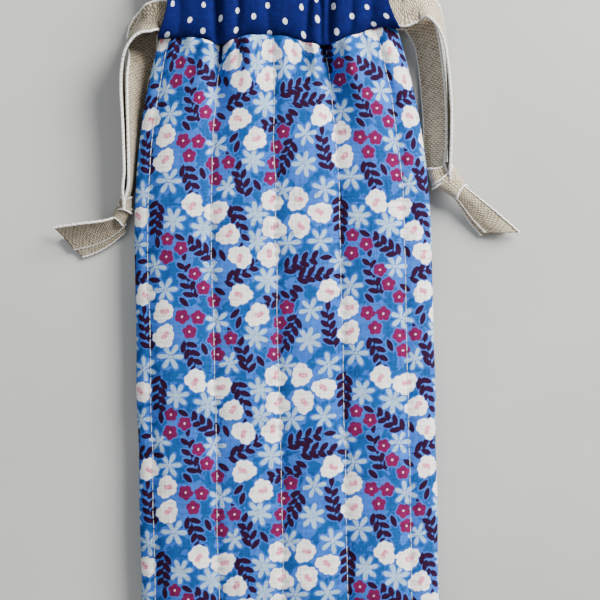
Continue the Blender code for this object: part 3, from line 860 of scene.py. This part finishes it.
def casing_folds(x, y, side):
    """How far the gathered casing stands out, and where its folds pinch it in."""
    rise = (y - SEAM_Y) / (TOP_Y - SEAM_Y)
    places = ((-19.0, 3.4, 1.5, -1.5), (-13.0, 1.4, 1.2, 2.0), (8.5, 2.0, 1.3, 3.0),
              (13.0, 2.4, 1.1, -1.0), (16.6, 3.2, 1.3, 0.5), (29.0, 1.3, 1.8, 2.5),
              (-31.0, 1.0, 1.9, -2.0), (-3.0, 0.8, 1.6, -4.0), (23.0, 1.0, 1.4, 1.0))
    total = np.zeros(np.broadcast(x, y).shape)
    for n, (place, deep, wide, lean) in enumerate(places):
        if side < 0:
            place, lean = -place + 3, -lean
        middle = place + lean * (rise - 0.2) + 0.9 * smooth_noise(y, 0 * y + n * 0.03, 8 * MM, 81)
        strength = np.clip(1.15 - 0.55 * np.abs(rise - (0.15 if deep > 2 else 0.55)), 0.2, 1)
        total += deep * strength * np.exp(-np.abs((x / MM - middle) / wide) ** 1.5)
    return total * MM


def rounded(value, power):
    """A sine or cosine bent towards a box: power 1 makes a circle, and less makes it squarer."""
    return np.sign(value) * np.abs(value) ** power


def casing_piece(name, side, box, material, pattern, pitch):
    """A gathered tube of fabric: closed around, open at its ends, with real thickness there."""
    middle_y, middle_z = (SEAM_Y + TOP_Y) / 2, (box[0][2] + box[1][2]) / 2
    half_y, half_z = (TOP_Y - SEAM_Y) / 2, (box[1][2] - box[0][2]) / 2
    turn = np.linspace(0, 2 * math.pi, int(4 * half_y / pitch) + 1)
    share = np.linspace(-1, 1, int(2 * SEAM_HALF / pitch))
    round_y, round_z = rounded(np.cos(turn), 0.62), rounded(np.sin(turn), 0.75)
    t, s = np.meshgrid(turn, share)
    dz = rounded(np.sin(t), 0.75)
    y = middle_y + half_y * rounded(np.cos(t), 0.62)
    x = s * casing_half(y)
    outer = np.clip(dz * side, 0, 1)
    inner = np.clip(-dz * side, 0, 1)
    if side > 0:
        plump, drawn_in, drawn_under = 1.9 * MM, 1.0, 0.175
    else:
        plump, drawn_in, drawn_under = 0.0, 0.27, 0.0315
    depth = casing_folds(x, y, side)
    fine = 0.22 * MM * smooth_noise(x, y * 0.4, 4.5 * MM, 91)
    fine += 0.35 * MM * smooth_noise(x, y * 0.3, 10 * MM, 92)
    z = middle_z + dz * half_z + side * plump * outer
    z = z - side * (outer * (drawn_in * depth - fine) + inner * drawn_under * depth)
    near_seam = np.clip(1 - (y - SEAM_Y) / (14 * MM), 0, 1)
    y = y + seam_line(x) * near_seam**1.3
    bulge = 0.54 * MM * np.cos(2 * math.pi * (x / MM) / 19 + 0.6)
    y = y + np.clip(np.cos(t), 0, 1) ** 3 * bulge
    end_slack = 0.5 * MM * smooth_noise(y, 0 * y + side * 0.03, 6 * MM, 95)
    x = x + np.sign(s) * end_slack * np.abs(s) ** 8
    if side < 0:
        z = np.maximum(z, 0.1 * MM)
    rows, columns = len(share), len(turn) - 1
    points = np.stack([x, y, z], -1)[:, :-1]
    made = mesh_object(name, points, tube_quads(rows, columns))
    add_thickness(made, 0.55 * MM)
    made.data.materials.append(material)
    run = np.cumsum(np.hypot(half_y * np.diff(round_y), half_z * np.diff(round_z)))
    v = np.broadcast_to(np.concatenate([[0], run])[:-1], (rows, columns))
    print_spots(made, pattern, (s * HALF_WIDTH)[:, :-1], v + (0.4 if side > 0 else 0.9))
    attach(made, "pouch")
    return made


# ---------------------------------------------------------------- tapes

TAPE_WIDTH = 10 * MM


def curve_through(places, count):
    """A smooth curve through places, as count evenly spaced ones. The last value is carried along."""
    places = np.asarray(places, float)
    n = len(places)
    padded = np.vstack([2 * places[0] - places[1], places, 2 * places[-1] - places[-2]])
    dense = []
    for i in range(n - 1):
        p0, p1, p2, p3 = padded[i:i + 4]
        t = np.linspace(0, 1, 40, endpoint=i == n - 2)[:, None]
        dense.append(0.5 * (2 * p1 + (p2 - p0) * t + (2 * p0 - 5 * p1 + 4 * p2 - p3) * t**2
                            + (3 * p1 - p0 - 3 * p2 + p3) * t**3))
    dense = np.vstack(dense)
    run = np.concatenate([[0], np.cumsum(np.linalg.norm(np.diff(dense[:, :3], axis=0), axis=1))])
    at = np.linspace(0, run[-1], count)
    return np.stack([np.interp(at, run, dense[:, k]) for k in range(dense.shape[1])], -1), at


FACE_POINTS = 19


def tape_section():
    """The tape's section: points (share of half the width, mm out), thicker along its selvedges."""
    flat = [(a, 0.30) for a in np.linspace(-0.86, 0.86, FACE_POINTS)]
    half = flat + [(0.90, 0.44), (0.97, 0.40), (1.0, 0.0), (0.97, -0.40), (0.90, -0.44)]
    section = np.array(half + [(-a, -b) for a, b in half])
    return section, (np.abs(section[:, 0]) > 0.87).astype(float)


def directions(line):
    """Unit vectors along a line of points."""
    ahead = np.gradient(line, axis=0)
    return ahead / np.linalg.norm(ahead, axis=1)[:, None]


def tape(name, route, material, body, side=1, width=(1, 1), cup=0.0, end_cut=0.0, along0=0.0, seed=0):
    """A length of woven tape through (x, y, z, lean) places in metres and degrees.

    width is the visible width along it, as shares of the full width; cup bends it across; end_cut
    slants its end by that many metres. Side -1 mirrors it in X.
    """
    pitch = 0.45 * MM
    length = np.sum(np.linalg.norm(np.diff(np.asarray(route)[:, :3], axis=0), axis=1))
    count = max(12, int(length / pitch))
    line, at = curve_through(route, count)
    centre, lean = line[:, :3], np.radians(line[:, 3])
    ahead = directions(centre)
    level = np.cross((0, 0, 1.0), ahead)
    level /= np.linalg.norm(level, axis=1)[:, None]
    across = level * np.cos(lean)[:, None] + np.cross(ahead, level) * np.sin(lean)[:, None]
    out = np.cross(ahead, across)
    shares = np.interp(np.linspace(0, 1, count), np.linspace(0, 1, len(width)), width)
    section, selvedge = tape_section()
    ring = len(section)
    frill = 0.10 * MM * np.sin(2 * math.pi * at / TAPE_WEFT)
    wave = 0.25 * MM * smooth_noise(at, at * 0 + seed, 7 * MM, 200 + seed)
    near_end = np.clip((at - at[-1] + 14 * MM) / (14 * MM), 0, 1)
    points, cloth = np.zeros((count, ring, 3)), np.zeros((count, ring, 3))
    for k, (a, b) in enumerate(section):
        reach = a * TAPE_WIDTH / 2 * shares + np.sign(a) * frill * selvedge[k] + wave * 0.4 * a
        uneven = 0.12 * MM * smooth_noise(at, at * 0 + a * 0.01, 5 * MM, 230 + seed)
        bow = cup * MM * (a**2 - 0.4) + uneven
        lift = b * MM + bow * (1 - 0.6 * selvedge[k])
        shift = near_end * end_cut * a
        points[:, k] = centre + across * reach[:, None] + out * lift[:, None] + ahead * shift[:, None]
        cloth[:, k, 0] = a * TAPE_WIDTH / 2
        cloth[:, k, 1] = at + along0
        cloth[:, k, 2] = selvedge[k]
    points[..., 0] *= side
    k = np.arange(FACE_POINTS - 1)
    other = ring // 2 + FACE_POINTS - 1 - k
    first = np.stack([k, k + 1, other - 1, other], -1)  # closes the end, between the two faces
    last = first[:, ::-1] + (count - 1) * ring
    if side < 0:
        first, last = first[:, ::-1], last[:, ::-1]
    faces = np.vstack([tube_quads(count, ring, flip=side > 0), first, last])
    made = mesh_object(name, points, faces)
    made.data.materials.append(material)
    set_vectors(made, "cloth", *cloth.reshape(-1, 3).T)
    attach(made, body)
    path = centre * (side, 1, 1)
    return made, [tuple(map(float, p)) for p in (*path[::max(1, count // 40)], path[-1])]


# Routes, the same as the CAD's and on into the knots, in millimetres: out from the side edge, drop
# from the exit, height above the table, and lean in degrees.
EXIT_Y = (SEAM_Y + 0.3 * MM + TOP_Y) / 2 - 5.3 * MM
TURN_Y = (SEAM_Y + 0.3 * MM + TOP_Y) / 2 + 5.3 * MM
FRONT_Z = (CASING[0][2] + CASING[1][2]) / 2
BACK_Z = (CASING_BACK[0][2] + CASING_BACK[1][2]) / 2

RIGHT_FRONT = (
    (-7, 0.2, 10.6, 0), (-3.2, -1.6, 10.9, -8), (0.6, -0.6, 10.2, -40), (3.4, 3.4, 9.6, -66),
    (5.2, 9, 8.4, -80), (6.2, 17, 7.0, -86), (6.7, 28, 6.2, -90), (6.7, 36, 6.0, -90),
    (6.3, 47, 5.8, -88), (6.4, 50.5, 5.4, -80), (7.0, 53.0, 4.8, -70),
)
RIGHT_BACK = (
    (-5, 0.5, 1.9, 0), (-2.4, 3, 2.2, 6), (-0.4, 7.5, 3.0, 32), (0.6, 13, 3.6, 40),
    (1.4, 21, 4.1, 42), (2.0, 33, 4.6, 43), (1.9, 47, 4.6, 45), (3.0, 50.5, 4.8, 48),
    (4.6, 53.5, 4.6, 50),
)
LEFT_FRONT = (
    (-8.2, 0.4, 10.4, 0), (-5.8, 2.2, 10.6, -38), (-3.4, 3.8, 10.4, -62), (-0.6, 6.6, 9.8, -74),
    (1.6, 11, 8.6, -82), (2.6, 17, 7.2, -88), (2.8, 23, 6.4, -90), (2.6, 30, 6.0, -90),
    (2.4, 38, 5.9, -90), (2.3, 48, 5.8, -90), (2.9, 53.5, 5.7, -90),
    (3.2, 57, 5.0, -84), (3.4, 60, 4.4, -80),
)
LEFT_BACK = (
    (-6.2, 0.75, 1.9, 0), (-3.9, 4.0, 2.1, 3), (-3.5, 7.4, 2.1, 7), (-3.4, 12, 2.9, 30),
    (-1.9, 19, 4.2, 50), (-1.4, 28, 4.6, 57), (-1.0, 38, 4.9, 64), (-0.2, 48, 5.1, 75),
    (0.6, 53.5, 5.2, 80), (1.8, 57, 4.8, 80), (2.6, 60, 4.4, 78),
)
RIGHT_TAILS = (
    ((8.0, 55.4, 5.4, 10), (11.0, 58.5, 4.9, 16), (16.5, 64, 3.9, 18), (22.8, 70, 2.6, 14)),
    ((8.2, 56.4, 3.4, 8), (10.8, 59.2, 2.9, 10), (15.8, 64.8, 1.7, 8), (20.6, 69.9, 1.0, 4)),
)
LEFT_TAILS = (
    ((3.4, 63.4, 4.6, 30), (7.4, 65.6, 4.6, 34), (11, 66.8, 4.3, 36), (16, 67.9, 3.9, 34),
     (22.5, 68.9, 3.0, 28)),
    ((3.8, 65.6, 3.0, 20), (7.6, 67.9, 2.7, 18), (11, 69.3, 2.2, 12), (15, 70.6, 1.6, 8),
     (20, 71.8, 0.9, 4)),
)


def free_places(route):
    return [(HALF_WIDTH + out * MM, EXIT_Y - drop * MM, high * MM, lean)
            for out, drop, high, lean in route]


def casing_places(z):
    leaves = float(casing_half(np.array(EXIT_Y))) + 1 * MM
    return [(6 * MM, EXIT_Y, z, 0), (leaves * 0.6, EXIT_Y, z, 0), (leaves, EXIT_Y, z, 0)]


def knot_band(name, centre, turned_by, near, far, length, flatness, material, side, body, along0):
    """The turn of tape that goes round the knot: a flattened cone of tape, near and far in radius."""
    ring, rows = 56, 19
    profile = np.linspace(-1, 1, rows)
    turn = np.linspace(0, 2 * math.pi, ring, endpoint=False)
    c, s = math.cos(turned_by), math.sin(turned_by)
    grid = np.zeros((2, rows, ring, 3))
    for layer, inset in enumerate((0.0, 0.55)):
        for i, a in enumerate(profile):
            share = (a + 1) / 2
            radius = (near * (1 - share) + far * share - inset) * MM
            bead = 0.16 * MM if abs(a) > 0.86 and not layer else 0
            flat_x = rounded(np.cos(turn), 0.75) * (radius + bead)
            forward = a * length / 2 * MM + 0.5 * MM * np.cos(turn * 2 + 0.7) * a
            grid[layer, i, :, 0] = centre[0] + forward * c - flat_x * s
            grid[layer, i, :, 1] = centre[1] + forward * s + flat_x * c
            grid[layer, i, :, 2] = centre[2] + rounded(np.sin(turn), 0.85) * (radius * flatness + bead)
    grid[..., 0] *= side
    grid[..., 2] = np.maximum(grid[..., 2], 0.15 * MM)
    cloth = np.zeros((2, rows, ring, 3))
    cloth[..., 0] = (profile * TAPE_WIDTH / 2)[:, None]
    cloth[..., 1] = along0 + turn * 3.4 * MM
    cloth[..., 2] = (np.abs(profile) > 0.86)[:, None]
    quads, inside = tube_quads(rows, ring), rows * ring
    rims = []
    for start, order in ((0, 1), (inside - ring, -1)):
        here = start + np.arange(ring)
        after = np.roll(here, -1)
        rims.append(np.stack([here, here + inside, after + inside, after], -1)[:, ::order])
    faces = np.vstack([quads, quads[:, ::-1] + inside, *rims])
    made = mesh_object(name, grid, faces[:, ::-1] if side > 0 else faces)
    made.data.materials.append(material)
    set_vectors(made, "cloth", *cloth.reshape(-1, 3).T)
    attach(made, body)
    return made


# For each knot: the wraps round it as (out, drop, height, turned in degrees, radius at its near
# end, radius at its far end, length, flatness).
RIGHT_WRAPS = (
    (6.9, 54.3, 4.7, -43, 4.5, 2.75, 8.0, 0.74), (3.4, 51.6, 4.3, -72, 3.4, 3.9, 6.0, 0.80),
)
LEFT_WRAPS = ((4.0, 61.8, 4.2, -60, 2.5, 2.2, 5.4, 1.0), (2.6, 58.8, 4.2, -82, 1.9, 2.6, 4.6, 1.2))


def drawstring(hand, side, routes, tails, wraps, material):
    """One drawstring: its knot, its two tails, and its two strands in the front and back casings."""
    body = f"{hand}_drawstring"
    seed = 1 if side > 0 else 5
    narrow = (0.42, 0.5, 0.6, 0.7, 0.76, 0.8, 0.82)
    if side > 0:
        width, cup, end_cut = narrow, -0.9, 4.2 * MM
    else:
        width, cup, end_cut = (0.4, 0.62, 0.8, 0.92, 0.95, 0.95), 0.8, 2.2 * MM
    upper, _ = tape(f"{hand}_tail_upper", free_places(tails[0]), material, body, side, width=width,
                    cup=cup, end_cut=end_cut, along0=0.3, seed=seed + 2)
    lower, _ = tape(f"{hand}_tail_lower", free_places(tails[1]), material, body, side, width=narrow,
                    cup=-0.3, end_cut=2.4 * MM, along0=0.5, seed=seed + 3)
    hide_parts(f"{body}_upper_tail")
    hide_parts(f"{body}_lower_tail")
    for n, (out, drop, high, angle, near, far, length, flatness) in enumerate(wraps):
        centre = (HALF_WIDTH + out * MM, EXIT_Y - drop * MM, high * MM)
        knot_band(f"{hand}_knot_{n + 1}", centre, math.radians(angle), near, far, length,
                               flatness, material, side, body, 0.1 * n)
    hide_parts(f"{body}_knot")
    for n, (word, height, route) in enumerate(zip(("front", "back"), (FRONT_Z, BACK_Z), routes)):
        places = casing_places(height) + free_places(route)
        piece, path = tape(f"{hand}_tape_{word}", places, material, body, side,
                           width=(1,) * 14 + (0.85, 0.6), seed=seed + n)
        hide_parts(f"{body}_{word}_strand")


def turn_piece(hand, side, material):
    """The far turn of a tape: out of the front casing, round the mouth, into the back one."""
    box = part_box(f"{hand}_drawstring_turn")
    reach = max(abs(box[0][0]), abs(box[1][0])) - 0.4 * MM
    end = float(casing_half(np.array(TURN_Y)))
    middle, rise = (FRONT_Z + BACK_Z) / 2, (FRONT_Z - BACK_Z) / 2
    places = [(6 * MM, FRONT_Z), (end * 0.6, FRONT_Z)]
    for i in range(9):
        angle = math.pi / 2 - math.pi * i / 8
        places.append((end + (reach - end) * math.cos(angle), middle + rise * math.sin(angle)))
    places += [(end * 0.6, BACK_Z), (6 * MM, BACK_Z)]
    line, at = curve_through([(x, 0, z) for x, z in places], 120)
    ahead = directions(line)
    out = np.stack([-ahead[:, 2], 0 * at, ahead[:, 0]], -1)
    section, selvedge = tape_section()
    ring, count = len(section), len(at)
    points, cloth = np.zeros((count, ring, 3)), np.zeros((count, ring, 3))
    for k, (a, b) in enumerate(section):
        points[:, k] = line + out * (b * MM)
        points[:, k, 1] += TURN_Y + a * TAPE_WIDTH / 2
        cloth[:, k, 0] = a * TAPE_WIDTH / 2
        cloth[:, k, 1] = at + 0.8
        cloth[:, k, 2] = selvedge[k]
    points[..., 0] *= side
    made = mesh_object(f"{hand}_tape_turn", points, tube_quads(count, ring, flip=side < 0))
    made.data.materials.append(material)
    set_vectors(made, "cloth", *cloth.reshape(-1, 3).T)
    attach(made, "pouch")
    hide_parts(f"{hand}_drawstring_turn")


# ---------------------------------------------------------------- making it all


def add_floor():
    corners = [(x, y, -0.00005) for x, y in ((-3, -3), (3, -3), (3, 3), (-3, 3))]
    floor = mesh_object("floor", corners, [(0, 1, 2, 3)], smooth=False)
    nodes = Nodes("floor")
    place = nodes.tree.nodes.new("ShaderNodeTexCoord").outputs["Object"]
    tone = nodes.step(nodes.noise(place, 9, 4, 0.55), 0.3, 0.75)
    colour = nodes.mix(tone, (0.455, 0.458, 0.435), (0.505, 0.507, 0.484))
    nodes.put(nodes.shader.inputs["Base Color"], colour)
    nodes.shader.inputs["Roughness"].default_value = 0.35
    nodes.shader.inputs["Specular IOR Level"].default_value = 0.3
    floor.data.materials.append(nodes.material)


def add_world():
    world = bpy.data.worlds.new("world")
    world.use_nodes = True
    background = world.node_tree.nodes["Background"].inputs
    background["Color"].default_value = (0.93, 0.96, 1.0, 1)
    background["Strength"].default_value = 0.36
    bpy.context.scene.world = world


def main():
    add_camera()
    add_floor()
    add_world()
    add_light("window", (0.58, 0.50, 0.46), (0, 0, 0), 0.56, 27.0, (1.0, 0.985, 0.96))
    add_light("fill", (-0.5, 0.1, 0.9), (0, 0, 0), 0.9, 2.6, (0.92, 0.96, 1.0))

    linen_tape = linen("linen_tape", 0.95)
    # The left drawstring and the left turn use the same linen tape made darker: painted shade.
    painted_shade_tape = linen("linen_tape_painted_shade", 0.62)
    drawstring("right", 1, (RIGHT_FRONT, RIGHT_BACK), RIGHT_TAILS, RIGHT_WRAPS, linen_tape)
    drawstring("left", -1, (LEFT_FRONT, LEFT_BACK), LEFT_TAILS, LEFT_WRAPS, painted_shade_tape)
    turn_piece("left", 1, painted_shade_tape)
    turn_piece("right", -1, linen_tape)

    fine = 0.5 * MM
    floral_cotton = cotton("floral_cotton", floral)
    spotted_cotton = cotton("spotted_cotton", spotted)
    wadding = wadding_material()
    quilting_thread = thread_material("quilting_thread", (0.60, 0.64, 0.66))
    sewing_thread = thread_material("sewing_thread", (0.012, 0.03, 0.16))

    floral_pattern, spot_pattern = floral_print(), spot_print()

    def floral_at(across, along):
        return lambda o, u, v: print_floral(o, floral_pattern, u + across * MM, v + along * MM)

    front = wall_panel("front_panel", fine, 1, floral_cotton, front_height, floral_at(3, 8))
    back = wall_panel("back_panel", fine * 1.5, -1, floral_cotton, back_height, floral_at(31, 20))
    for piece, node in ((front, "outer_front"), (back, "outer_back")):
        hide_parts(node)

    def under_front(depth, least=-math.inf):
        return lambda x, y: np.maximum(front_height(x, y, fine=False) - depth * MM, least * MM)

    def under_back(depth, least=-math.inf):
        return lambda x, y: np.maximum(BACK_FULL * shell(x, y) - depth * MM, least * MM)

    def plain(o, u, v):
        set_vectors(o, "cloth", u, v)

    def spots(o, u, v):
        print_spots(o, spot_pattern, u, v)

    for word, side, height in (("front", 1, under_front(1.35)), ("back", -1, under_back(1.6))):
        piece = wall_panel(f"wadding_{word}_pad", 2.0 * MM, side, wadding, height, plain, edge=0.95,
                           top=-1.5 * MM, thick=0.8 * MM)
        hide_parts(f"wadding_{word}")
    for word, side, height in (("front", 1, under_front(2.9, 0.5)), ("back", -1, under_back(3.0, 0.5))):
        piece = wall_panel(f"lining_{word}_sheet", 0.9 * MM, side, spotted_cotton, height, spots,
                           edge=0.94, thick=0.3 * MM)
        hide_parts(f"lining_{word}")

    for side, word, box, pitch in ((1, "front", CASING, 0.45), (-1, "back", CASING_BACK, 0.7)):
        piece = casing_piece(f"{word}_casing", side, box, spotted_cotton, spot_pattern,
                             pitch * MM * (1))
        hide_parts(f"casing_{word}")

    for number, line in enumerate(QUILT_X, 1):
        for side, word in ((1, "front"), (-1, "back")):
            piece = stitched_line(f"{word}_stitches_{number}", line, side, quilting_thread)
            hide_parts(f"quilting_thread_{word}_{number}")

    for name in ("side_and_bottom_seam_thread", "casing_seam_thread_front", "casing_seam_thread_back"):
        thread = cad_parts[name]
        thread.data.materials.clear()
        thread.data.materials.append(sewing_thread)


main()
